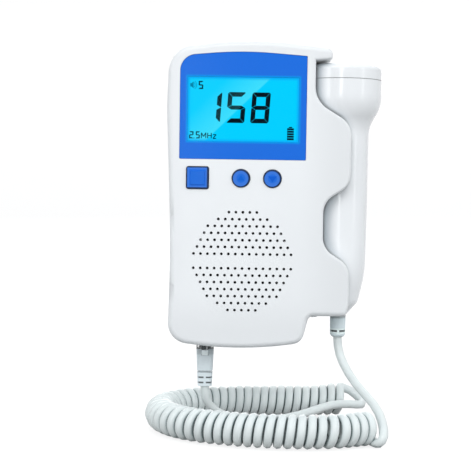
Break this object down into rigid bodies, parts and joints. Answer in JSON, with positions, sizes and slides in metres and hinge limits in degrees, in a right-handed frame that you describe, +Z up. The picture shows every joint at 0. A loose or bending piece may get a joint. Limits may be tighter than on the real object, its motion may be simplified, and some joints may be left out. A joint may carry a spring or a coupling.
{
  "type": "fetal doppler monitor",
  "caption": "Handheld fetal heart monitor with blue display panel, round keys and speaker grille, its ultrasound probe resting in a side holster on a curly cord.",
  "frame": {"origin": "middle of the casing's flat back, on the axis of the speaker grille and half-way up the casing", "axes": "+X towards the probe's side, +Y out of the back, +Z up along the casing"},
  "size_m": [0.1032, 0.0885, 0.1696],
  "materials": {
    "casing": "white moulding with a soft satin gloss",
    "probe_white": "white moulding, smoother than the casing",
    "panel_blue": "glossy blue window panel",
    "key_blue": "satin blue key caps",
    "lcd": "glossy, lit cyan behind dark segments",
    "light_guide": "frosted light guide",
    "black_plastic": "matt moulding",
    "circuit_board": "green solder mask",
    "speaker_paper": "matt pressed paper",
    "gasket_foam": "matt foam",
    "magnet": "sintered ferrite",
    "steel": "zinc plated",
    "spring_metal": "nickel plated",
    "cell_jacket": null,
    "gold": "gold plated",
    "clear_plastic": "clear moulding",
    "wire_insulation": "fine insulated wires",
    "grey_rubber": "matt blue-grey moulding",
    "crystal": "silvered piezo ceramic",
    "backing_rubber": "cast damping rubber",
    "cord_jacket": "pale satin jacket"
  },
  "bodies": {
    "monitor": {"front_shell": "casing", "rear_shell": "casing", "case_screws": "steel", "battery_cell_left": "cell_jacket", "battery_cell_right": "cell_jacket", "battery_contacts": "spring_metal", "display_panel": "panel_blue", "lcd_glass": "lcd", "lcd_backlight": "light_guide", "lcd_holder": "black_plastic", "main_board": "circuit_board", "tact_switches": "black_plastic", "speaker_frame": "steel", "speaker_cone": "speaker_paper", "speaker_magnet": "magnet", "speaker_gasket": "gasket_foam", "modular_jack": "black_plastic", "jack_contacts": "gold", "earphone_socket": "black_plastic", "plug_body": "clear_plastic", "plug_contacts": "gold", "plug_wires": "wire_insulation", "plug_boot": "grey_rubber", "cord_plug_tail": "cord_jacket", "coiled_cord": "cord_jacket", "cord_probe_tail": "cord_jacket"},
    "power_key": {"power_key": "key_blue"},
    "up_key": {"up_key": "key_blue"},
    "down_key": {"down_key": "key_blue"},
    "battery_door": {"battery_door": "casing"},
    "probe": {"probe_housing": "probe_white", "probe_cap": "probe_white", "piezo_crystals": "crystal", "transducer_backing": "backing_rubber", "probe_board": "circuit_board", "probe_strain_relief": "grey_rubber"}
  },
  "joints": [
    {"name": "power_press", "type": "slide", "parent": "monitor", "child": "power_key", "axis": [0, 1, 0], "range_m": [0, 0.0006], "stiffness_N_per_m": 1500, "springref_m": -0.0004},
    {"name": "up_press", "type": "slide", "parent": "monitor", "child": "up_key", "axis": [0, 1, 0], "range_m": [0, 0.0006], "stiffness_N_per_m": 1500, "springref_m": -0.0004},
    {"name": "down_press", "type": "slide", "parent": "monitor", "child": "down_key", "axis": [0, 1, 0], "range_m": [0, 0.0006], "stiffness_N_per_m": 1500, "springref_m": -0.0004},
    {"name": "battery_door_tilt", "type": "hinge", "parent": "monitor", "child": "battery_door", "pos_m": [0.0063, 0, -0.0003], "axis": [1, 0, 0], "range_deg": [0, 70]},
    {"name": "probe_pull", "type": "slide", "parent": "monitor", "child": "probe", "axis": [1, 0, 0], "range_m": [0, 0.03], "deforming": ["cord_probe_tail"]}
  ]
}
